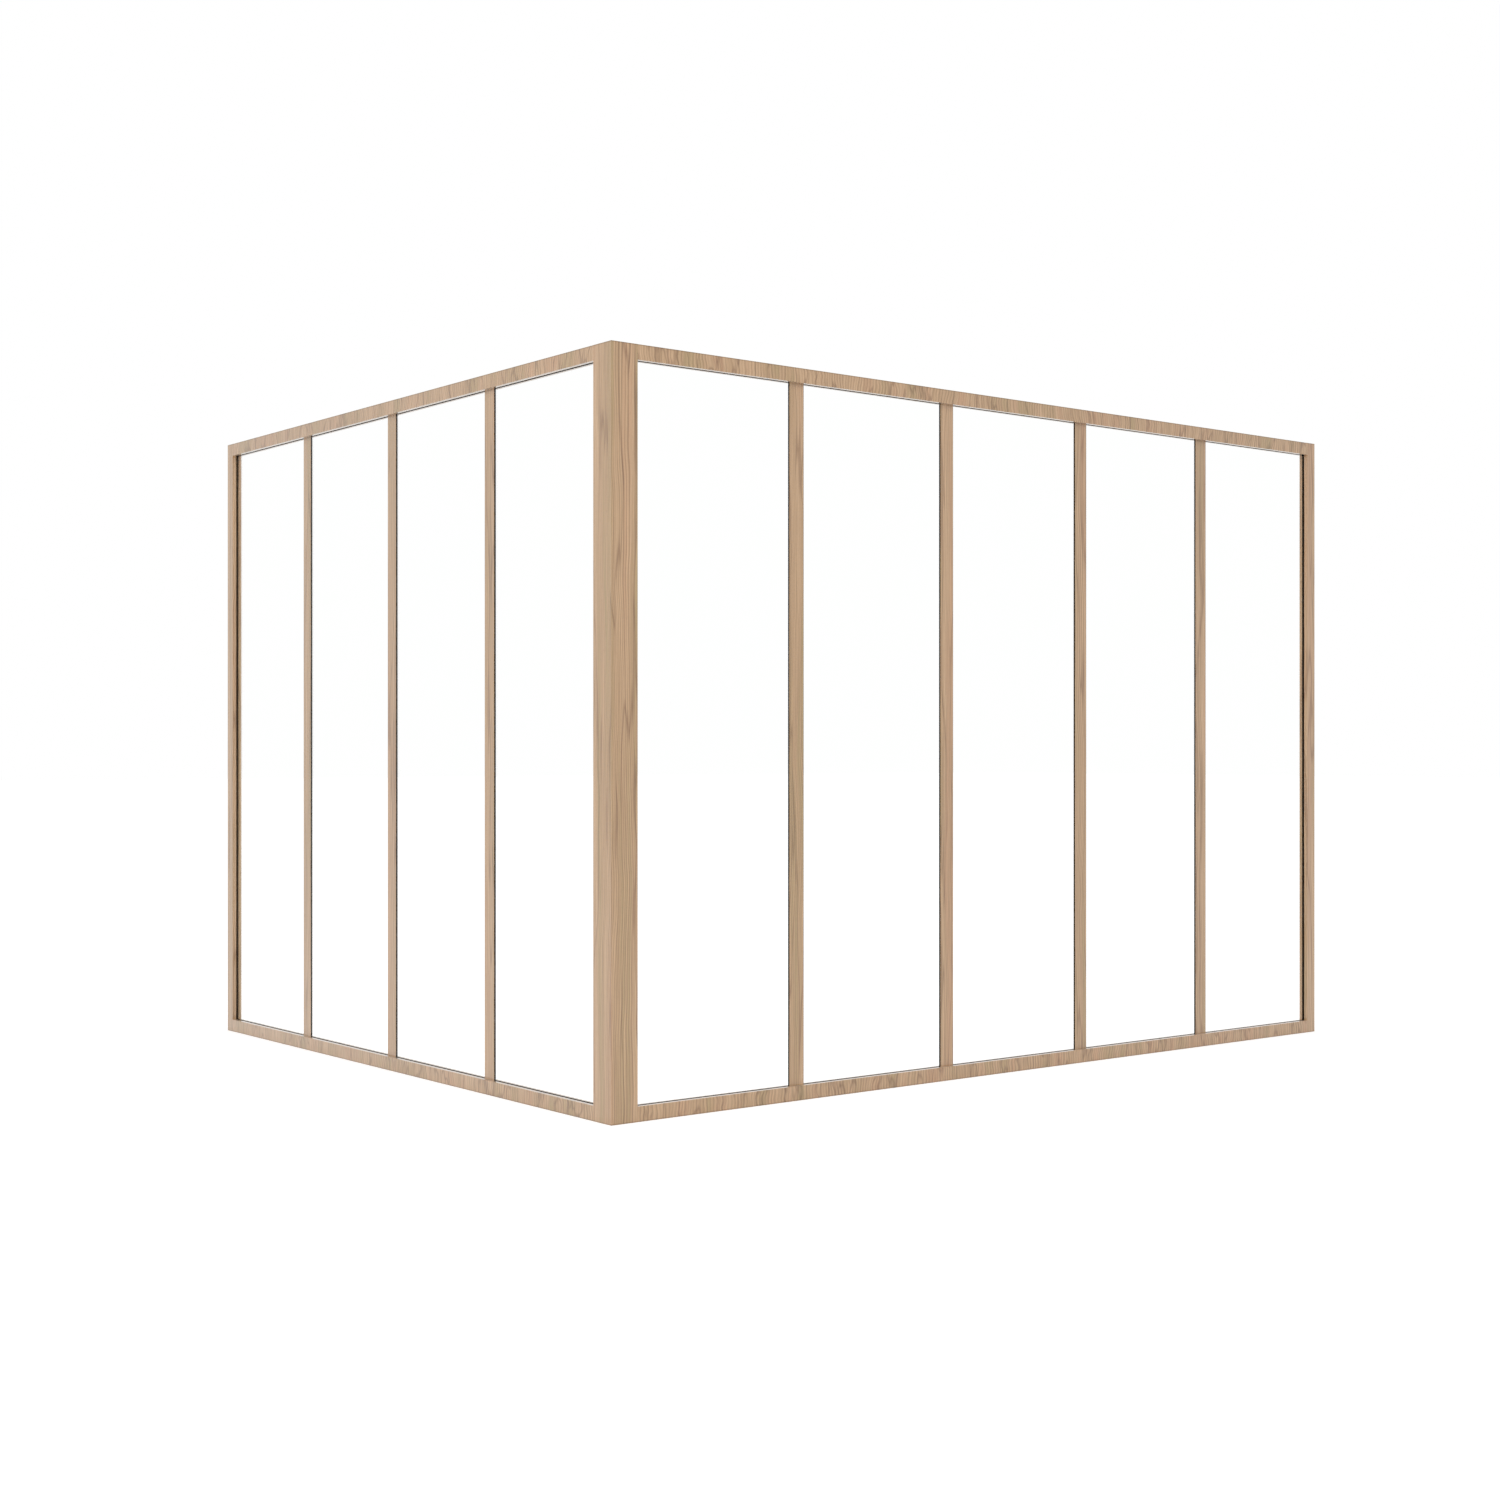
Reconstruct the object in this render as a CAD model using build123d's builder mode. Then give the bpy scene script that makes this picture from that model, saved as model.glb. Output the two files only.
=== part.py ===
from build123d import *
import os

# Oak-framed glass partition wall: two glazed wings that meet at a mitred corner.
# The origin is the foot of the outer corner. The right wing runs along +X and its outer
# face is the plane Y = 0; the left wing runs along +Y and its outer face is X = 0.

os.makedirs("parts", exist_ok=True)

# Height of the wall from floor to ceiling
wall_height = 2500.0

# Number of bays in each wing, and the clear width of one bay
right_bays = 5
right_bay_width = 642.0
left_bays = 4
left_bay_width = 638.0

# Widths of the wooden members, as seen from outside
rail_face = 50.0
end_stile_face = 50.0
corner_stile_face = 103.0
bar_face = 62.0

# Layers through the wall, from the outer face inwards
lip_depth = 16.0
glass_thickness = 6.0
seal_thickness = 1.0
bead_depth = 16.0

# The rebate that takes the panes and the beads, and the blocks that carry each pane in it
rebate_height = 14.0
block_height = 4.0
block_length = 80.0
bar_top_gap = 1.0

# Small bevel on the edges that a hand can reach
arris = 0.5

# Loose tongue that joins the two corner stiles across their mitre
spline_thickness = 6.0
spline_width = 22.0
spline_inset = 40.0
spline_centre = 24.0

# Dowels between rails and stiles, two to a joint
dowel_radius = 4.0
dowel_length = 50.0
dowel_spacing = 16.0

# Steel pins that hold the glazing bars in the rails
bar_pin_radius = 2.0
bar_pin_length = 40.0

# Thin steel pins that hold the beads
bead_pin_radius = 0.8
bead_pin_length = 30.0
stile_bead_pins = 8
stile_bead_pin_pitch = 300.0

# Play around every dowel, pin and tongue
fit_gap = 0.1

# Holes for screws into floor, ceiling and side walls, hidden under the beads
fixing_radius = 4.0
fixing_head_radius = 7.0
fixing_head_depth = 6.0
fixing_behind_bead_face = 6.0
rail_fixings = 6
rail_fixing_end_distance = 130.0
stile_fixings = 4
stile_fixing_pitch = 600.0

# Places that follow from the layers
groove_width = seal_thickness + glass_thickness + seal_thickness
groove_middle = lip_depth + groove_width / 2
glass_front = lip_depth + seal_thickness
glass_back = glass_front + glass_thickness
bead_front = lip_depth + groove_width
bead_middle = bead_front + bead_depth / 2
frame_depth = bead_front + bead_depth
body_middle = (lip_depth + frame_depth) / 2
fixing_depth = bead_front + fixing_behind_bead_face

# Places that follow from the faces
rail_body = rail_face - rebate_height
stile_body = end_stile_face - rebate_height
glass_foot = rail_body + block_height
glass_cover = rail_face - glass_foot
glass_height = wall_height - 2 * glass_foot
half_height = wall_height / 2
bar_spacing = seal_thickness + bar_face + seal_thickness
rail_floors = (rail_body, wall_height - rail_body)
bottom_bead_pin_height = rail_face - bead_pin_length / 2
top_bead_pin_height = wall_height - bottom_bead_pin_height

mid_height_plane = Plane.XY.offset(half_height)
mitre_plane = Plane(origin=(0, 0, 0), z_dir=(1, -1, 0))
spline_place = Plane(
    origin=(spline_centre, spline_centre, half_height), x_dir=(1, -1, 0), z_dir=(0, 0, 1)
)


class Wing:
    """A straight run of bays. It is drawn along +X; the left wing is then mirrored at the mitre."""

    def __init__(self, name, bays, bay_width, mirrored):
        self.name = name
        self.bay_width = bay_width
        self.mirrored = mirrored
        pitch = bay_width + bar_spacing
        self.bay_starts = [corner_stile_face + n * pitch for n in range(bays)]
        self.bar_middles = [start - bar_spacing / 2 for start in self.bay_starts[1:]]
        self.opening_start = corner_stile_face
        self.opening_end = self.bay_starts[-1] + bay_width
        self.length = self.opening_end + end_stile_face
        self.body_start = self.opening_start - rebate_height
        self.body_end = self.opening_end + rebate_height
        self.middle = (self.body_start + self.body_end) / 2
        fixing_run = self.body_end - self.body_start - 2 * rail_fixing_end_distance
        self.fixing_pitch = fixing_run / (rail_fixings - 1)

    def pane_spans(self):
        """Both ends of each pane. The outermost panes also reach into the rebates of the stiles."""
        spans = [[start, start + self.bay_width] for start in self.bay_starts]
        spans[0][0] -= glass_cover
        spans[-1][1] += glass_cover
        return spans

    def quarter_points(self):
        """Distances along the wing, two to a bay, where the blocks and the rail beads' pins stand."""
        shares = (0.25, 0.75)
        return [start + share * self.bay_width for start in self.bay_starts for share in shares]


def into_place(wing):
    """Used in a part block: puts a piece of the left wing on its own side of the mitre."""
    if wing.mirrored:
        mirror(about=mitre_plane, mode=Mode.REPLACE)


def save(piece, name):
    """Names a finished piece and writes its file."""
    piece.part.label = name
    export_step(piece.part, f"parts/{name}.step")
    print(name, len(piece.part.solids()), "solids", round(piece.part.volume / 1000), "cm3")


def upright(x, y, z):
    """A place whose pin or hole stands upright."""
    return Plane(origin=(x, y, z))


def lengthwise(x, y, z):
    """A place whose pin or hole lies along the wing."""
    return Plane(origin=(x, y, z), x_dir=(0, 1, 0), z_dir=(1, 0, 0))


def peg_holes(places, radius, length):
    """Used in a part block: the holes of round pins, each centred on its place."""
    with Locations(*places):
        Cylinder(radius + fit_gap, length + 2 * fit_gap, mode=Mode.SUBTRACT)


def dowel_places(x, rail_middle):
    """The two dowels of the joint at x, in a rail whose solid part is centred at that height."""
    sides = (-dowel_spacing / 2, dowel_spacing / 2)
    return [lengthwise(x, body_middle, rail_middle + side) for side in sides]


def stile_dowel_places(x):
    """The dowels of a stile: two at the bottom rail and two at the top rail."""
    rail_middles = (rail_body / 2, wall_height - rail_body / 2)
    return [place for middle in rail_middles for place in dowel_places(x, middle)]


def bar_pin_places(wing, height):
    """The pins at the feet or the heads of the glazing bars, half in the bar and half in the rail."""
    return [upright(x, groove_middle, height) for x in wing.bar_middles]


def rail_bead_pin_places(wing, height):
    """The pins of the bottom or the top bead, driven into the rail from the opening."""
    return [upright(x, bead_middle, height) for x in wing.quarter_points()]


def stile_bead_pin_places(opening_edge, towards_stile):
    """The pins of an upright bead, driven sideways from the opening edge into the stile."""
    middle = opening_edge + towards_stile * bead_pin_length / 2
    lowest = half_height - (stile_bead_pins - 1) / 2 * stile_bead_pin_pitch
    heights = [lowest + n * stile_bead_pin_pitch for n in range(stile_bead_pins)]
    return [lengthwise(middle, bead_middle, height) for height in heights]


def frame_section(face):
    """Section of a rail or an end stile: x is depth into the wall, y is up from the outer edge."""
    with BuildSketch() as section:
        with BuildLine():
            Polyline(
                (0, 0),
                (frame_depth, 0),
                (frame_depth, face - rebate_height),
                (lip_depth, face - rebate_height),
                (lip_depth, face),
                (0, face),
                close=True,
            )
        make_face()
        outer_corners = section.vertices().group_by(Axis.Y)[0]
        lip_corner = section.vertices().group_by(Axis.X)[0].sort_by(Axis.Y)[-1]
        chamfer(outer_corners + [lip_corner], arris)
    return section.sketch


def rail(wing, side):
    """A bottom rail, or the same turned upside down as the top rail."""
    with BuildPart() as piece:
        with BuildSketch(lengthwise(wing.body_start, 0, 0)):
            add(frame_section(rail_face))
        extrude(amount=wing.body_end - wing.body_start)
        # The shoulders: the lip stops short, where the lips of the stiles begin.
        shoulder_middles = (
            wing.body_start + rebate_height / 2,
            wing.body_end - rebate_height / 2,
        )
        with Locations(*[(x, lip_depth / 2, rail_face / 2) for x in shoulder_middles]):
            Box(rebate_height, lip_depth, rail_face, mode=Mode.SUBTRACT)
        for x in (wing.body_start, wing.body_end):
            peg_holes(dowel_places(x, rail_body / 2), dowel_radius, dowel_length)
        peg_holes(bar_pin_places(wing, rail_body), bar_pin_radius, bar_pin_length)
        bead_pins = rail_bead_pin_places(wing, bottom_bead_pin_height)
        peg_holes(bead_pins, bead_pin_radius, bead_pin_length)
        with Locations(upright(wing.middle, fixing_depth, rail_body)):
            with GridLocations(wing.fixing_pitch, 0, rail_fixings, 1):
                CounterBoreHole(fixing_radius, fixing_head_radius, fixing_head_depth)
        if side == "top":
            mirror(about=mid_height_plane, mode=Mode.REPLACE)
        into_place(wing)
    save(piece, f"{wing.name}_{side}_rail")


def end_stile(wing):
    """The upright at the free end of a wing, screwed to the side wall."""
    rebate_floor = wing.length - stile_body
    with BuildPart() as piece:
        with BuildSketch(Plane(origin=(wing.length, 0, 0), x_dir=(0, 1, 0), z_dir=(0, 0, 1))):
            add(frame_section(end_stile_face))
        extrude(amount=wall_height)
        peg_holes(stile_dowel_places(rebate_floor), dowel_radius, dowel_length)
        bead_pins = stile_bead_pin_places(wing.opening_end, 1)
        peg_holes(bead_pins, bead_pin_radius, bead_pin_length)
        towards_opening = Plane(
            origin=(rebate_floor, fixing_depth, half_height), x_dir=(0, 0, 1), z_dir=(-1, 0, 0)
        )
        with Locations(towards_opening):
            with GridLocations(stile_fixing_pitch, 0, stile_fixings, 1):
                CounterBoreHole(fixing_radius, fixing_head_radius, fixing_head_depth)
        into_place(wing)
    save(piece, f"{wing.name}_end_stile")


def corner_stile(wing):
    """One leg of the corner post: a wide upright, mitred to the other wing's."""
    rebate_floor = wing.body_start
    with BuildPart() as piece:
        with BuildSketch():
            with BuildLine():
                Polyline(
                    (arris / 2, arris / 2),
                    (arris, 0),
                    (corner_stile_face - arris, 0),
                    (corner_stile_face, arris),
                    (corner_stile_face, lip_depth),
                    (rebate_floor, lip_depth),
                    (rebate_floor, frame_depth),
                    (frame_depth, frame_depth),
                    close=True,
                )
            make_face()
        extrude(amount=wall_height)
        with Locations(spline_place):
            Box(
                spline_width + 2 * fit_gap,
                spline_thickness + 2 * fit_gap,
                wall_height - 2 * spline_inset + 2 * fit_gap,
                mode=Mode.SUBTRACT,
            )
        peg_holes(stile_dowel_places(rebate_floor), dowel_radius, dowel_length)
        bead_pins = stile_bead_pin_places(wing.opening_start, -1)
        peg_holes(bead_pins, bead_pin_radius, bead_pin_length)
        into_place(wing)
    save(piece, f"{wing.name}_corner_stile")


def glazing_bars(wing):
    """The thin bars between the panes. They lie in the plane of the glass."""
    length = wall_height - 2 * rail_body - bar_top_gap
    for number, x in enumerate(wing.bar_middles, start=1):
        with BuildPart() as bar:
            with BuildSketch(Plane.XY.offset(rail_body)):
                with Locations((x, groove_middle)):
                    Rectangle(bar_face, groove_width)
                chamfer(vertices(), arris)
            extrude(amount=length)
            both_ends = [upright(x, groove_middle, height) for height in rail_floors]
            peg_holes(both_ends, bar_pin_radius, bar_pin_length)
            into_place(wing)
        save(bar, f"{wing.name}_glazing_bar_{number}")


def panes(wing):
    """One pane to a bay."""
    for number, (low, high) in enumerate(wing.pane_spans(), start=1):
        with BuildPart() as pane:
            with BuildSketch(Plane.XY.offset(glass_foot)):
                with Locations(((low + high) / 2, groove_middle)):
                    Rectangle(high - low, glass_thickness)
            extrude(amount=glass_height)
            into_place(wing)
        save(pane, f"{wing.name}_glass_{number}")


def bead(wing, side, outline, pin_places):
    """A glazing bead: a strip behind the panes, mitred to its neighbours at both ends."""
    with BuildPart() as piece:
        with BuildSketch(Plane.XZ.offset(-bead_front)):
            with BuildLine():
                Polyline(*outline, close=True)
            make_face()
        extrude(amount=-bead_depth)
        back_edges = piece.edges().group_by(Axis.Y)[-1]
        opening_middle = (wing.middle, frame_depth, half_height)
        chamfer(back_edges.sort_by_distance(opening_middle)[0], arris)
        peg_holes(pin_places, bead_pin_radius, bead_pin_length)
        if side == "top":
            mirror(about=mid_height_plane, mode=Mode.REPLACE)
        into_place(wing)
    save(piece, f"{wing.name}_{side}_bead")


def beads(wing):
    """The four beads of a wing. The top bead is the bottom one turned upside down."""
    low, high = wing.body_start, wing.body_end
    start, end = wing.opening_start, wing.opening_end
    floor, ceiling = rail_floors
    head = wall_height - rail_face
    level = [(low, floor), (high, floor), (end, rail_face), (start, rail_face)]
    level_pins = rail_bead_pin_places(wing, bottom_bead_pin_height)
    bead(wing, "bottom", level, level_pins)
    bead(wing, "top", level, level_pins)
    corner = [(low, floor), (start, rail_face), (start, head), (low, ceiling)]
    bead(wing, "corner", corner, stile_bead_pin_places(start, -1))
    outer_end = [(high, floor), (end, rail_face), (end, head), (high, ceiling)]
    bead(wing, "end", outer_end, stile_bead_pin_places(end, 1))


def pane_seals(wing, side, front):
    """Thin strips between the panes and the lip, or between the panes and the beads."""
    depth = front + seal_thickness / 2
    cover_middle = glass_foot + glass_cover / 2
    upright_length = wall_height - 2 * (rail_face + fit_gap)
    with BuildPart() as strips:
        for low, high in wing.pane_spans():
            for height in (cover_middle, wall_height - cover_middle):
                with Locations(((low + high) / 2, depth, height)):
                    Box(high - low, seal_thickness, glass_cover)
        for x in (wing.opening_start - glass_cover / 2, wing.opening_end + glass_cover / 2):
            with Locations((x, depth, half_height)):
                Box(glass_cover, seal_thickness, upright_length)
        into_place(wing)
    save(strips, f"{wing.name}_{side}_seals")


def bar_seals(wing):
    """Thin strips on both edges of every glazing bar, against the edges of the panes."""
    offset_from_bar = (bar_face + seal_thickness) / 2
    with BuildPart() as strips:
        for x in wing.bar_middles:
            for side in (-offset_from_bar, offset_from_bar):
                with Locations((x + side, groove_middle, half_height)):
                    Box(seal_thickness, glass_thickness, glass_height)
        into_place(wing)
    save(strips, f"{wing.name}_bar_seals")


def setting_blocks(wing):
    """Two blocks under each pane."""
    with BuildPart() as blocks:
        for x in wing.quarter_points():
            with Locations((x, groove_middle, rail_body + block_height / 2)):
                Box(block_length, glass_thickness, block_height)
        into_place(wing)
    save(blocks, f"{wing.name}_setting_blocks")


def pins(wing, name, places, radius, length):
    """Like pins of one wing, together in one group, each centred on its place."""
    with BuildPart() as group:
        with Locations(*places):
            Cylinder(radius, length)
        into_place(wing)
    save(group, f"{wing.name}_{name}")


def fastenings(wing):
    """Dowels, bar pins and bead pins."""
    dowels = stile_dowel_places(wing.body_start) + stile_dowel_places(wing.body_end)
    pins(wing, "rail_dowels", dowels, dowel_radius, dowel_length)
    bar_pins = [place for height in rail_floors for place in bar_pin_places(wing, height)]
    pins(wing, "bar_pins", bar_pins, bar_pin_radius, bar_pin_length)
    bead_pins = (
        rail_bead_pin_places(wing, bottom_bead_pin_height)
        + rail_bead_pin_places(wing, top_bead_pin_height)
        + stile_bead_pin_places(wing.opening_start, -1)
        + stile_bead_pin_places(wing.opening_end, 1)
    )
    pins(wing, "bead_pins", bead_pins, bead_pin_radius, bead_pin_length)


def corner_spline():
    """The loose tongue across the mitre of the corner post, stopped short of both ends."""
    with BuildPart() as tongue:
        with Locations(spline_place):
            Box(spline_width, spline_thickness, wall_height - 2 * spline_inset)
    save(tongue, "corner_spline")


for wing in (
    Wing("right", right_bays, right_bay_width, mirrored=False),
    Wing("left", left_bays, left_bay_width, mirrored=True),
):
    for side in ("bottom", "top"):
        rail(wing, side)
    end_stile(wing)
    corner_stile(wing)
    glazing_bars(wing)
    panes(wing)
    beads(wing)
    pane_seals(wing, "outer", lip_depth)
    pane_seals(wing, "inner", glass_back)
    bar_seals(wing)
    setting_blocks(wing)
    fastenings(wing)
corner_spline()
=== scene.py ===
# %% [markdown]
# # An oak-framed glass partition wall
#
# Two glazed wings meet at a right angle: slim oak rails and stiles, clear panes, and thin oak bars
# between them. The measured model comes in as a fixed frame that already has every piece at its real
# size and place. This lesson gives each piece its finish, and then sets up the floor, the light and
# the camera. All lengths are metres.

# %% Load the measured model
import math

import bpy
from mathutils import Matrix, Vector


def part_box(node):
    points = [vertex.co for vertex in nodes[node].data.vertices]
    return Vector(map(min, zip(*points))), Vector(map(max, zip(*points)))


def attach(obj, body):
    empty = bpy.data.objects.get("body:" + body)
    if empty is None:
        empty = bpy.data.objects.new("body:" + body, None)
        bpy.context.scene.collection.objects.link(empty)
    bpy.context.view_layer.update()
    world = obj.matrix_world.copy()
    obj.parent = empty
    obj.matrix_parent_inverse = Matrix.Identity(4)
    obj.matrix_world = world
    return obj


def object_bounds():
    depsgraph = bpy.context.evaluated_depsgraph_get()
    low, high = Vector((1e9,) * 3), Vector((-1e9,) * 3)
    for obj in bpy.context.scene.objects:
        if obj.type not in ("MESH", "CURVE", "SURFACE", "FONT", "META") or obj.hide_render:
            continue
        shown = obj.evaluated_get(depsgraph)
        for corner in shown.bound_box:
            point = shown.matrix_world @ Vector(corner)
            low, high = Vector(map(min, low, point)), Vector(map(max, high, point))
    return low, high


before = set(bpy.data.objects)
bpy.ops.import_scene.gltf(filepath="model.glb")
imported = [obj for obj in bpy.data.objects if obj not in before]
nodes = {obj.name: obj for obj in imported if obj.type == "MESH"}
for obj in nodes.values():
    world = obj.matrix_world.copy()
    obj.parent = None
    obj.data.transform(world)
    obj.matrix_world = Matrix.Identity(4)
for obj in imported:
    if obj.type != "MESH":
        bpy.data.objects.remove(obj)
measured_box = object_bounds()
print("pieces in the frame:", len(nodes))

# %% [markdown]
# ## Helpers for node materials
#
# A procedural finish is a small graph: coordinates go in, patterns come out, and a shader takes them.
# Short helpers keep the recipes below readable. They start a material, add a node with its settings,
# do arithmetic, lay out a colour ramp from a list of stops, blend two colours, and draw noise out
# along the grain.

# %% Node helpers
def new_material(name):
    """An empty node material with its output, as a tree that the recipes fill."""
    material = bpy.data.materials.new(name)
    material.use_nodes = True
    material.node_tree.nodes.clear()
    return material, material.node_tree


def add(tree, kind, inputs=None, **settings):
    """Adds a node. An input is either a plain value or the output of another node."""
    node = tree.nodes.new(kind)
    for name, value in settings.items():
        setattr(node, name, value)
    for name, value in (inputs or {}).items():
        if isinstance(value, bpy.types.NodeSocket):
            tree.links.new(value, node.inputs[name])
        else:
            node.inputs[name].default_value = value
    return node


def math_node(tree, operation, first, second=0.0, third=0.0):
    """The result of one arithmetic step."""
    values = {0: first, 1: second, 2: third}
    return add(tree, "ShaderNodeMath", values, operation=operation).outputs[0]


def ramp(tree, factor, stops):
    """A colour for every factor from 0 to 1, blended between (position, colour) stops."""
    node = add(tree, "ShaderNodeValToRGB", {"Fac": factor})
    elements = node.color_ramp.elements
    while len(elements) < len(stops):
        elements.new(0.5)
    for element, (position, colour) in zip(elements, stops):
        element.position = position
        element.color = (*colour, 1.0)
    return node.outputs["Color"]


def mix_colours(tree, blend, factor, first, second):
    """Two colours blended as paint layers are: mixed, multiplied or overlaid."""
    node = tree.nodes.new("ShaderNodeMix")
    node.data_type = "RGBA"
    node.blend_type = blend
    for socket, value in ((0, factor), (6, first), (7, second)):
        if isinstance(value, bpy.types.NodeSocket):
            tree.links.new(value, node.inputs[socket])
        else:
            node.inputs[socket].default_value = value
    return node.outputs[2]


def stretched_noise(tree, across, along, scale_across, scale_along, detail, layer):
    """Noise drawn out along the grain. Each layer of it is a different cut through the same noise."""
    wide = math_node(tree, "MULTIPLY", across, scale_across)
    long = math_node(tree, "MULTIPLY", along, scale_along)
    place = add(tree, "ShaderNodeCombineXYZ", {"X": wide, "Y": layer, "Z": long}).outputs[0]
    noise = add(tree, "ShaderNodeTexNoise", {"Vector": place, "Scale": 1.0, "Detail": detail})
    return noise.outputs["Fac"]


# %% [markdown]
# ## Oak
#
# The frame is pale natural oak under a clear satin lacquer. Its grain stands upright on every piece,
# on the rails too, so one recipe serves them all: "across" is the way round the corner, x minus y,
# and "along" is the height. On level faces, such as the top of a rail, x minus y would draw the lines
# aslant, so there the depth is left out. The recipe lays these over each other, broad to fine:
#
# - bands of beige, pink and olive, a few centimetres wide
# - growth rings, which are the contour lines of a tilted noise. Where the tilt wins they run straight,
#   and where the noise wins they close into the pointed arches of flat-sawn boards
# - dark strokes, the places where another stretched noise passes through its middle value
# - streaks, fibres and pores
# - a thin dark edge at the foot and the head of the wall, which the photograph shows and doesn't explain
#
# The lacquer is a coat, which turns bright where it is seen edge-on. That is why the narrow
# undersides of the rails look paler from the side than the faces do.

# %% Oak colours
OAK_LIGHT = (0.572, 0.378, 0.219)
OAK_MIDDLE = (0.470, 0.297, 0.158)
OAK_DARK = (0.250, 0.138, 0.063)
OAK_PINK = (0.516, 0.304, 0.169)
OAK_OLIVE = (0.408, 0.286, 0.135)
STROKE_TINT = (0.56, 0.48, 0.40)
EDGE_TINT = (0.66, 0.62, 0.52)
UNCHANGED = (1.0, 1.0, 1.0)


# %% Layers of the grain
def grain_rings(tree, across, along, ring_spacing, waviness, lean, layer):
    """Growth rings as a colour, and how strongly each ring shows."""
    swell = stretched_noise(tree, across, along, 5.0, 0.55 * lean, 1.0, layer + 3.1)
    tilted = math_node(tree, "MULTIPLY", across, 1.0 / ring_spacing)
    rings = math_node(tree, "MULTIPLY_ADD", swell, waviness, tilted)
    phase = math_node(tree, "FRACT", rings)
    number = math_node(tree, "FLOOR", rings)
    tone = add(tree, "ShaderNodeTexWhiteNoise", {"W": number}, noise_dimensions="1D").outputs["Value"]
    stops = [(0.0, OAK_MIDDLE), (0.20, OAK_LIGHT), (0.58, OAK_MIDDLE), (0.86, OAK_DARK), (1.0, OAK_MIDDLE)]
    return ramp(tree, phase, stops), tone


def grain_strokes(tree, across, along, stroke_spacing, lean, layer):
    """A tint that is dark along thin, wandering upright strokes."""
    wander = stretched_noise(tree, across, along, 0.5 / stroke_spacing, 0.9 * lean, 2.0, layer + 31.7)
    from_middle = math_node(tree, "ABSOLUTE", math_node(tree, "SUBTRACT", wander, 0.5))
    return ramp(tree, from_middle, [(0.0, STROKE_TINT), (0.030, UNCHANGED)])


LEVEL_FROM = 0.9


def level_face(tree):
    """1 on faces that look straight up or down, and 0 on the others."""
    normal = add(tree, "ShaderNodeNewGeometry").outputs["Normal"]
    upward = add(tree, "ShaderNodeSeparateXYZ", {"Vector": normal}).outputs[2]
    return math_node(tree, "GREATER_THAN", math_node(tree, "ABSOLUTE", upward), LEVEL_FROM)


def way_round(tree, x, y, level):
    """Distance round the corner. Level faces leave out the depth, so lines cross a rail squarely."""
    upright = math_node(tree, "SUBTRACT", x, y)
    in_right_wing = math_node(tree, "GREATER_THAN", x, y)
    side = math_node(tree, "MULTIPLY_ADD", in_right_wing, 2.0, -1.0)
    flat = math_node(tree, "MULTIPLY", math_node(tree, "MAXIMUM", x, y), side)
    difference = math_node(tree, "SUBTRACT", flat, upright)
    return math_node(tree, "MULTIPLY_ADD", level, difference, upright)


def edge_line(tree, along, level):
    """A tint that darkens upright faces in the first millimetres at the foot and the head."""
    to_head = math_node(tree, "SUBTRACT", WALL_HEIGHT, along)
    nearest = math_node(tree, "MINIMUM", along, to_head)
    share = math_node(tree, "MULTIPLY_ADD", nearest, 1.0 / EDGE_WIDTH, level)
    return ramp(tree, share, [(0.4, EDGE_TINT), (1.0, UNCHANGED)])


# %% The oak recipe
WALL_HEIGHT = measured_box[1][2]
EDGE_WIDTH = 0.005
SWAY_REACH = 0.050


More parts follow.
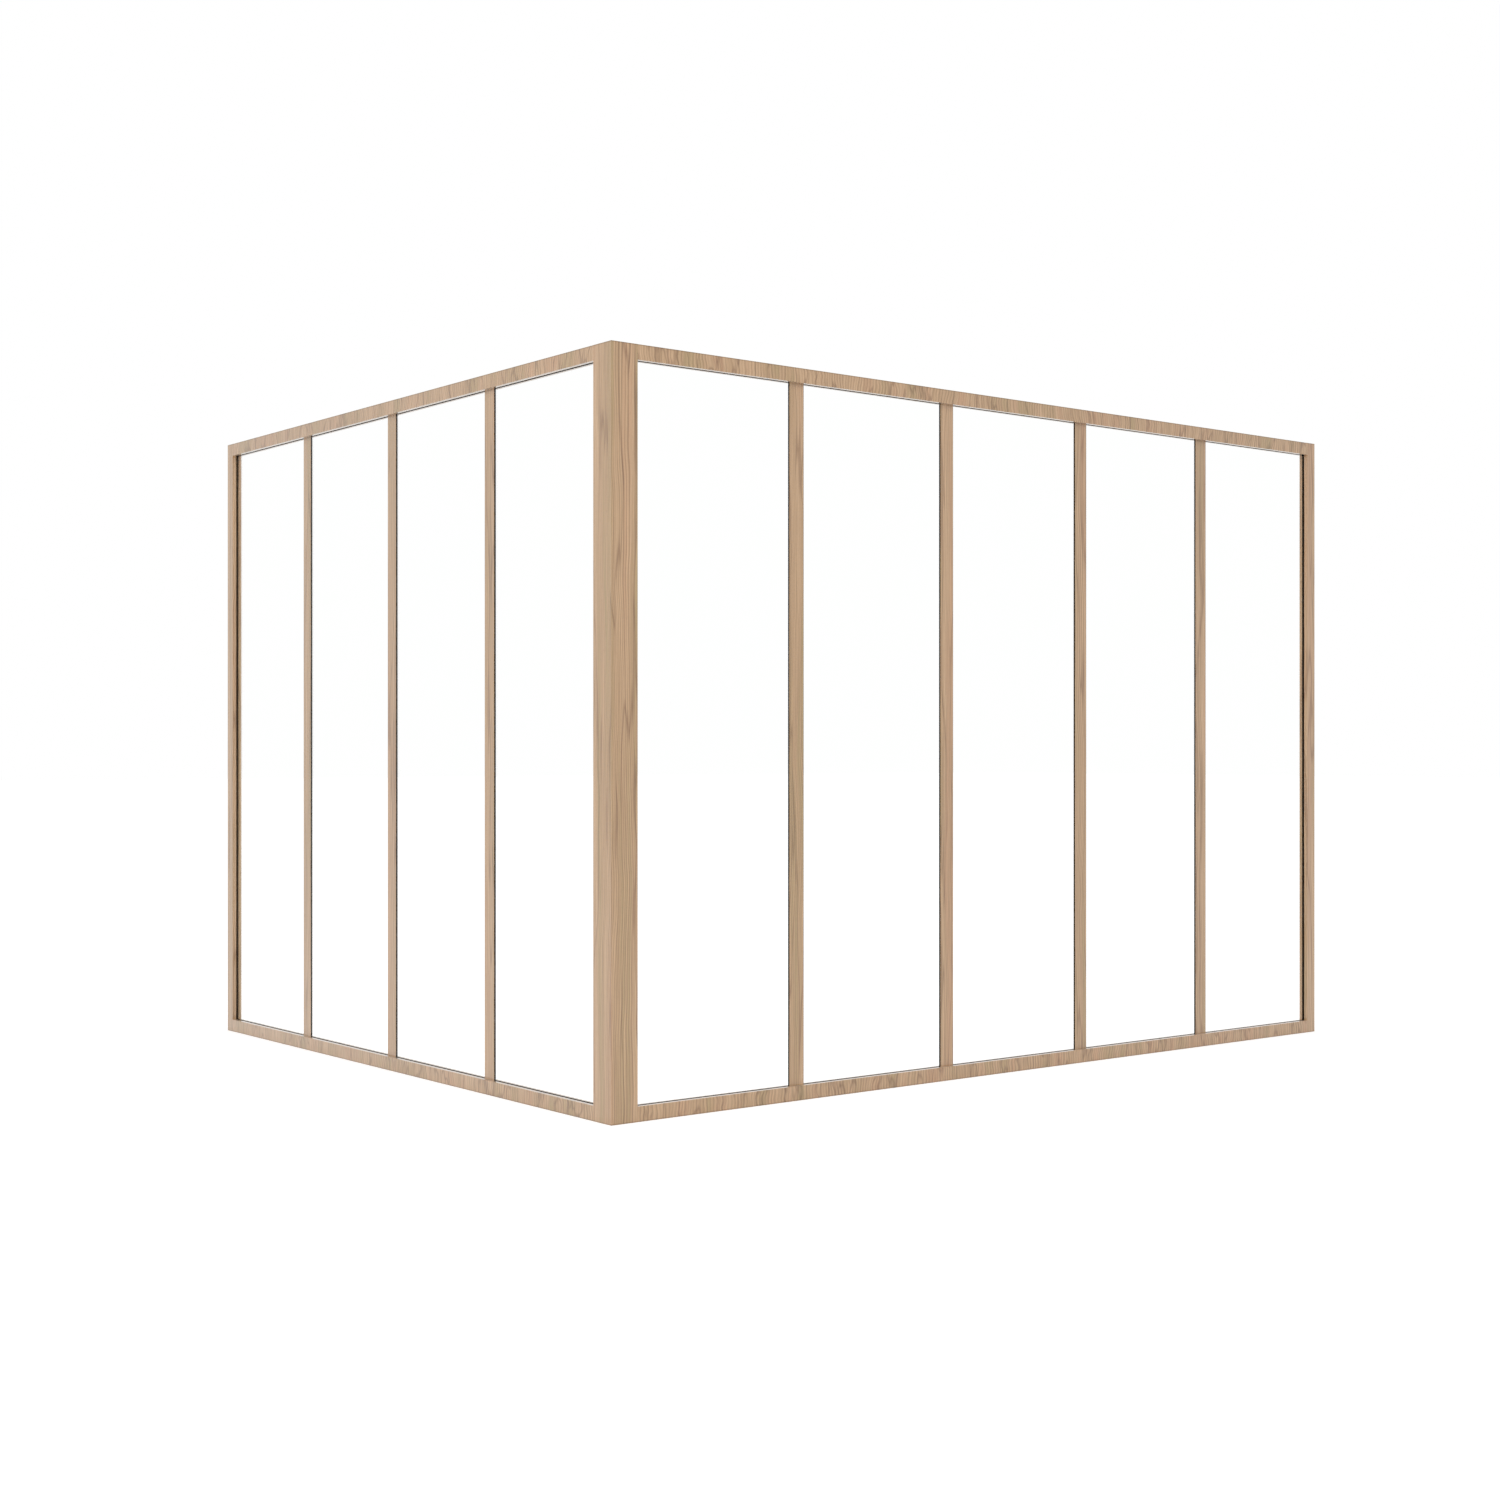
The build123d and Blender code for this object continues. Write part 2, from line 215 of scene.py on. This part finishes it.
def make_oak(name, ring_spacing, waviness, lean, band_width, stroke_spacing, contrast, layer):
    """Lacquered oak. Lengths are in metres; a larger lean makes the lines tilt over a short height."""
    material, tree = new_material(name)
    place = add(tree, "ShaderNodeTexCoord").outputs["Object"]
    xyz = add(tree, "ShaderNodeSeparateXYZ", {"Vector": place}).outputs
    level = level_face(tree)
    straight = way_round(tree, xyz[0], xyz[1], level)
    along = xyz[2]
    sway = stretched_noise(tree, straight, along, 4.0, 2.0 * lean, 2.0, layer)
    across = math_node(tree, "MULTIPLY_ADD", sway, SWAY_REACH, straight)

    patches = stretched_noise(tree, across, along, 0.6 / band_width, 0.5 * lean, 2.0, layer + 7.7)
    tints = [(0.36, OAK_OLIVE), (0.45, OAK_MIDDLE), (0.54, OAK_LIGHT), (0.62, OAK_PINK)]
    colour = ramp(tree, patches, tints)
    ring_colour, ring_tone = grain_rings(tree, across, along, ring_spacing, waviness, lean, layer)
    ring_strength = math_node(tree, "MULTIPLY_ADD", ring_tone, 0.65 * contrast, 0.20 * contrast)
    colour = mix_colours(tree, "MIX", ring_strength, colour, ring_colour)
    strokes = grain_strokes(tree, across, along, stroke_spacing, lean, layer)
    colour = mix_colours(tree, "MULTIPLY", 0.8 * contrast, colour, strokes)
    streaks = stretched_noise(tree, across, along, 260.0, 2.5 * lean, 3.0, layer + 23.9)
    streak_tint = ramp(tree, streaks, [(0.32, (0.80, 0.77, 0.72)), (0.66, (1.12, 1.12, 1.12))])
    colour = mix_colours(tree, "MULTIPLY", 0.8, colour, streak_tint)
    fibre = stretched_noise(tree, across, along, 900.0, 11.0, 3.0, layer + 11.3)
    fibre_tint = ramp(tree, fibre, [(0.30, (0.84, 0.81, 0.78)), (0.70, (1.10, 1.10, 1.10))])
    colour = mix_colours(tree, "MULTIPLY", 0.7, colour, fibre_tint)
    pores = stretched_noise(tree, across, along, 1500.0, 38.0, 1.0, layer + 17.9)
    pore_tint = ramp(tree, pores, [(0.26, (0.50, 0.42, 0.36)), (0.34, UNCHANGED)])
    colour = mix_colours(tree, "MULTIPLY", 0.6, colour, pore_tint)
    colour = mix_colours(tree, "MULTIPLY", 1.0, colour, edge_line(tree, along, level))

    roughness = math_node(tree, "MULTIPLY_ADD", fibre, 0.16, 0.30)
    relief = math_node(tree, "MULTIPLY_ADD", pores, 0.5, fibre)
    bump = add(tree, "ShaderNodeBump", {"Strength": 0.12, "Distance": 0.0004, "Height": relief})
    shader = add(tree, "ShaderNodeBsdfPrincipled", {
        "Base Color": colour,
        "Roughness": roughness,
        "Normal": bump.outputs[0],
        "IOR": 1.5,
        "Coat Weight": 1.0,
        "Coat Roughness": 0.10,
        "Coat IOR": 1.5,
        "Sheen Weight": 0.3,
        "Sheen Roughness": 0.2,
    })
    add(tree, "ShaderNodeOutputMaterial", {"Surface": shader.outputs[0]})
    print("oak finish:", name, "ring spacing", ring_spacing)
    return material


# %% Oak for posts, bars, rails and beads
oak_posts = make_oak("oak_posts", 0.0085, 12.0, 1.0, 0.030, 0.022, 1.0, 0.0)
oak_bars = make_oak("oak_bars", 0.0085, 13.0, 1.0, 0.035, 0.022, 1.0, 21.0)
oak_rails = make_oak("oak_rails", 0.0130, 4.0, 4.5, 0.045, 0.030, 1.0, 43.0)
oak_beads = make_oak("oak_beads", 0.0140, 7.0, 1.0, 0.040, 0.030, 0.8, 67.0)

# %% [markdown]
# ## Clear glass
#
# A pane is 6 mm thick with parallel faces, so what is seen through it is hardly shifted. Each face is
# therefore a see-through shader mixed with a mirror, and not a bending glass, which would also take
# far longer to light. The photograph shows no reflections in the panes, so the share of the mirror is
# set below plain glass's 4% straight on. It grows towards the edge-on view, alike on the front and the
# back, and its sharpness is a little uneven.

# %% The glass recipe
MIRROR_STRAIGHT_ON = 0.006
MIRROR_GROWTH = 5.0


def make_clear_glass():
    """See-through panes whose mirror grows towards the edge-on view."""
    material, tree = new_material("clear_glass")
    place = add(tree, "ShaderNodeTexCoord").outputs["Object"]
    haze = add(tree, "ShaderNodeTexNoise", {"Vector": place, "Scale": 2.6, "Detail": 3.0})
    roughness = math_node(tree, "MULTIPLY", haze.outputs["Fac"], 0.03)
    tint = ramp(tree, haze.outputs["Fac"], [(0.3, (0.997, 1.0, 0.998)), (0.7, (0.999, 1.0, 0.999))])
    clear = add(tree, "ShaderNodeBsdfTransparent", {"Color": tint})
    mirror = add(tree, "ShaderNodeBsdfAnisotropic", {"Color": (1, 1, 1, 1), "Roughness": roughness})
    tilt = add(tree, "ShaderNodeLayerWeight", {"Blend": 0.5}).outputs["Facing"]
    edge_on = math_node(tree, "POWER", tilt, MIRROR_GROWTH)
    share = math_node(tree, "MULTIPLY_ADD", edge_on, 1.0 - MIRROR_STRAIGHT_ON, MIRROR_STRAIGHT_ON)
    mixed = add(tree, "ShaderNodeMixShader", {0: share, 1: clear.outputs[0], 2: mirror.outputs[0]})
    add(tree, "ShaderNodeOutputMaterial", {"Surface": mixed.outputs[0]})
    print("glass finish made")
    return material


clear_glass = make_clear_glass()

# %% [markdown]
# ## Seals, setting blocks, dowels and pins
#
# The seals are matt black rubber. Their gloss is set low, because ordinary gloss would mirror the
# white room and turn the line grey. The setting blocks are dense dark plastic, the dowels and the
# corner tongue bare beech, and the pins bright drawn steel. Most of this is out of sight in the
# groove, but the seals draw the fine dark line round every pane.

# %% A recipe for small plain parts
def make_speckled(name, low, high, scale, roughness, metallic=0.0, gloss=0.5, stretch=(1.0, 1.0, 1.0)):
    """A matt or metallic finish whose colour and roughness vary between two values with fine noise."""
    material, tree = new_material(name)
    place = add(tree, "ShaderNodeTexCoord").outputs["Object"]
    drawn = add(tree, "ShaderNodeMapping", {"Vector": place, "Scale": stretch}).outputs[0]
    noise = add(tree, "ShaderNodeTexNoise", {"Vector": drawn, "Scale": scale, "Detail": 4.0})
    colour = ramp(tree, noise.outputs["Fac"], [(0.35, low), (0.65, high)])
    rough = math_node(tree, "MULTIPLY_ADD", noise.outputs["Fac"], 0.2, roughness)
    bump = add(tree, "ShaderNodeBump", {
        "Strength": 0.1, "Distance": 0.0002, "Height": noise.outputs["Fac"],
    })
    shader = add(tree, "ShaderNodeBsdfPrincipled", {
        "Base Color": colour, "Roughness": rough, "Metallic": metallic, "Normal": bump.outputs[0],
        "Specular IOR Level": gloss,
    })
    add(tree, "ShaderNodeOutputMaterial", {"Surface": shader.outputs[0]})
    return material


black_rubber = make_speckled(
    "black_rubber", (0.006, 0.004, 0.002), (0.016, 0.011, 0.006), 400.0, 0.6, gloss=0.1
)
dark_plastic = make_speckled("dark_plastic", (0.045, 0.045, 0.047), (0.075, 0.075, 0.078), 300.0, 0.45)
bare_beech = make_speckled(
    "bare_beech", (0.55, 0.37, 0.23), (0.68, 0.50, 0.34), 500.0, 0.55, stretch=(0.2, 0.2, 1.0)
)
drawn_steel = make_speckled(
    "drawn_steel", (0.50, 0.50, 0.51), (0.62, 0.62, 0.63), 900.0, 0.22, metallic=1.0
)
print("finishes so far:", len(bpy.data.materials))

# %% [markdown]
# ## Dressing the pieces
#
# Every piece keeps its measured mesh, and a word in its name says what it is made of. A list of words
# and finishes, read from the top, finds the finish of each, so the order of the list counts.

# %% Give each piece its finish
FINISHES = (
    ("glazing_bar", oak_bars),
    ("glass", clear_glass),
    ("seals", black_rubber),
    ("setting_blocks", dark_plastic),
    ("dowels", bare_beech),
    ("spline", bare_beech),
    ("pins", drawn_steel),
    ("bead", oak_beads),
    ("rail", oak_rails),
    ("stile", oak_posts),
)


def finish_of(name):
    for word, material in FINISHES:
        if word in name:
            return material
    raise ValueError("no finish for " + name)


for name, piece in nodes.items():
    for material_slot in piece.material_slots:
        material_slot.material = finish_of(name)
print("pieces dressed:", len(nodes))

# %% [markdown]
# ## Gasket lips
#
# The photograph shows a dark line round the glass that is broader than the 1 mm seals of the measured
# model can make it. What causes it can't be seen. A seal that folds a little way over the edge of the
# bead is a usual detail and gives such a line, so one is guessed here. A cube is stretched to each
# run's corners and its edges are rounded by a bevel, and the runs of a wing are joined to one piece.
# The runs follow the panes' and beads' own boxes. How far the lip folds over and rises is a guess.

# %% Gasket sizes
LIP_OVER_BEAD = 0.0022
LIP_RISE = 0.0007
LIP_ROUNDING = 0.0003
SMOOTH_BELOW = math.radians(40)


# %% One strip
def make_strip(low, high):
    """A rounded strip between two opposite corners, with its place in its mesh."""
    bpy.ops.object.select_all(action="DESELECT")
    middle = [(a + b) / 2 for a, b in zip(low, high)]
    bpy.ops.mesh.primitive_cube_add(size=1.0, location=middle)
    strip = bpy.context.object
    strip.scale = [b - a for a, b in zip(low, high)]
    bpy.ops.object.transform_apply(location=True, rotation=True, scale=True)
    bpy.ops.object.mode_set(mode="EDIT")
    bpy.ops.mesh.select_all(action="SELECT")
    bpy.ops.mesh.bevel(offset=LIP_ROUNDING, segments=2, affect="EDGES")
    bpy.ops.mesh.normals_make_consistent(inside=False)
    bpy.ops.object.mode_set(mode="OBJECT")
    bpy.ops.object.shade_smooth_by_angle(angle=SMOOTH_BELOW)
    return strip


# %% The runs round the openings of a wing
def gasket_runs(wing, bays, run_axis):
    """Corner pairs of the strips: two level ones to a bay, and one at each end of the opening."""
    depth_axis = 1 - run_axis
    bead_low, bead_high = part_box(f"{wing}_bottom_bead")
    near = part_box(f"{wing}_glass_1")[1][depth_axis]
    far = bead_low[depth_axis] + LIP_OVER_BEAD
    foot = bead_high[2]
    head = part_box(f"{wing}_top_bead")[0][2]
    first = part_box(f"{wing}_corner_bead")[1][run_axis]
    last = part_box(f"{wing}_end_bead")[0][run_axis]

    def run(start, end, bottom, top):
        low, high = [0, 0, bottom], [0, 0, top]
        low[run_axis], high[run_axis] = start, end
        low[depth_axis], high[depth_axis] = near, far
        return low, high

    runs = [run(first, first + LIP_RISE, foot, head), run(last - LIP_RISE, last, foot, head)]
    for number in range(1, bays + 1):
        pane_low, pane_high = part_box(f"{wing}_glass_{number}")
        start = max(pane_low[run_axis], first + LIP_RISE)
        end = min(pane_high[run_axis], last - LIP_RISE)
        runs.append(run(start, end, foot, foot + LIP_RISE))
        runs.append(run(start, end, head - LIP_RISE, head))
    return runs


def make_gasket_lips(wing, bays, run_axis):
    """All the strips of a wing as one piece of rubber."""
    strips = [make_strip(low, high) for low, high in gasket_runs(wing, bays, run_axis)]
    bpy.ops.object.select_all(action="DESELECT")
    for strip in strips:
        strip.select_set(True)
    bpy.context.view_layer.objects.active = strips[0]
    bpy.ops.object.join()
    lips = bpy.context.object
    lips.name = f"{wing}_gasket_lips"
    lips.data.materials.clear()
    lips.data.materials.append(black_rubber)
    bpy.ops.object.origin_set(type="ORIGIN_CURSOR")
    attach(lips, "root")
    print(lips.name, len(strips), "strips", len(lips.data.polygons), "faces")


bpy.context.scene.cursor.location = (0, 0, 0)
make_gasket_lips("right", 5, 0)
make_gasket_lips("left", 4, 1)

# %% [markdown]
# ## The floor
#
# The studio floor is a wide pale sheet. Its own white is topped up for what the camera, a mirror or
# the glass sees, so that it meets the backdrop without a line, while its soft shading under the wall
# stays.

# %% Floor
FLOOR_SIZE = 160.0
FLOOR_WHITE = 0.80
FLOOR_GLOW = 0.42


def seen_directly(tree):
    """1 for what the camera sees, also by a mirror or through glass, and 0 for other light."""
    path = add(tree, "ShaderNodeLightPath").outputs
    seen = math_node(tree, "MAXIMUM", path["Is Camera Ray"], path["Is Glossy Ray"])
    return math_node(tree, "MAXIMUM", seen, path["Is Transmission Ray"])


def make_floor():
    bpy.ops.object.select_all(action="DESELECT")
    bpy.ops.mesh.primitive_plane_add(size=FLOOR_SIZE, location=(0, 0, 0))
    floor = bpy.context.object
    floor.name = "floor"
    material, tree = new_material("pale_floor")
    white = (FLOOR_WHITE, FLOOR_WHITE, FLOOR_WHITE, 1.0)
    matt = add(tree, "ShaderNodeBsdfDiffuse", {"Color": white})
    strength = math_node(tree, "MULTIPLY", seen_directly(tree), FLOOR_GLOW)
    glow = add(tree, "ShaderNodeEmission", {"Color": (1, 1, 1, 1), "Strength": strength})
    both = add(tree, "ShaderNodeAddShader", {0: matt.outputs[0], 1: glow.outputs[0]})
    add(tree, "ShaderNodeOutputMaterial", {"Surface": both.outputs[0]})
    floor.data.materials.append(material)
    print("floor", FLOOR_SIZE, "m wide")


make_floor()

# %% [markdown]
# ## Light
#
# A white room all round gives most of the light, so a colour shows about as it is written. One large
# soft lamp in front and above lets the two wings differ a little in tone.

# %% World and lamp
ROOM_LIGHT = 0.82
LAMP_WATTS = 420.0
LAMP_SIZE = 6.0
LAMP_PLACE = (-7.0, -6.0, 7.0)
LAMP_TARGET = (0.6, 0.6, 1.1)


def make_room_light():
    world = bpy.data.worlds.new("white_room")
    world.use_nodes = True
    tree = world.node_tree
    tree.nodes.clear()
    strength = math_node(tree, "MULTIPLY_ADD", seen_directly(tree), 1.0 - ROOM_LIGHT, ROOM_LIGHT)
    background = add(tree, "ShaderNodeBackground", {"Color": (1, 1, 1, 1), "Strength": strength})
    add(tree, "ShaderNodeOutputWorld", {"Surface": background.outputs[0]})
    bpy.context.scene.world = world


def aim(thing, place, target):
    """Stands a lamp at a place and turns its face to the target."""
    thing.location = place
    away = thing.location - type(thing.location)(target)
    thing.rotation_euler = away.to_track_quat("Z", "Y").to_euler()


def make_soft_lamp():
    light = bpy.data.lights.new("soft_lamp", "AREA")
    light.shape = "SQUARE"
    light.size = LAMP_SIZE
    light.energy = LAMP_WATTS
    lamp = bpy.data.objects.new("soft_lamp", light)
    bpy.context.collection.objects.link(lamp)
    aim(lamp, LAMP_PLACE, LAMP_TARGET)
    lamp.visible_camera = False
    lamp.visible_glossy = False
    print("lamp", LAMP_WATTS, "W")


make_room_light()
make_soft_lamp()

# %% [markdown]
# ## Camera
#
# The photograph was taken with a level camera, so all uprights stay parallel. A fit to its edges gave
# where the camera stood, which way it looked, and a lens of 50 mm on a 36 mm wide sensor.

# %% Camera
EYE = (-3.752, -5.483, 1.1908)
LOOK = (0.6183, 0.7859, 0.0)
LENS_MM = 50.0
SENSOR_MM = 36.0
HORIZON_SHIFT = 1.565 / 1500.0
SIGHT_LIMIT = 200.0


def make_camera():
    lens = bpy.data.cameras.new("camera")
    lens.lens = LENS_MM
    lens.sensor_width = SENSOR_MM
    lens.shift_y = HORIZON_SHIFT
    lens.clip_end = SIGHT_LIMIT
    camera = bpy.data.objects.new("camera", lens)
    bpy.context.collection.objects.link(camera)
    camera.location = EYE
    heading = math.atan2(LOOK[1], LOOK[0]) - math.pi / 2
    camera.rotation_euler = (math.pi / 2, 0.0, heading)
    bpy.context.scene.camera = camera
    print("camera heading", round(math.degrees(heading), 2), "degrees")


make_camera()
bpy.context.scene.view_settings.view_transform = "Standard"
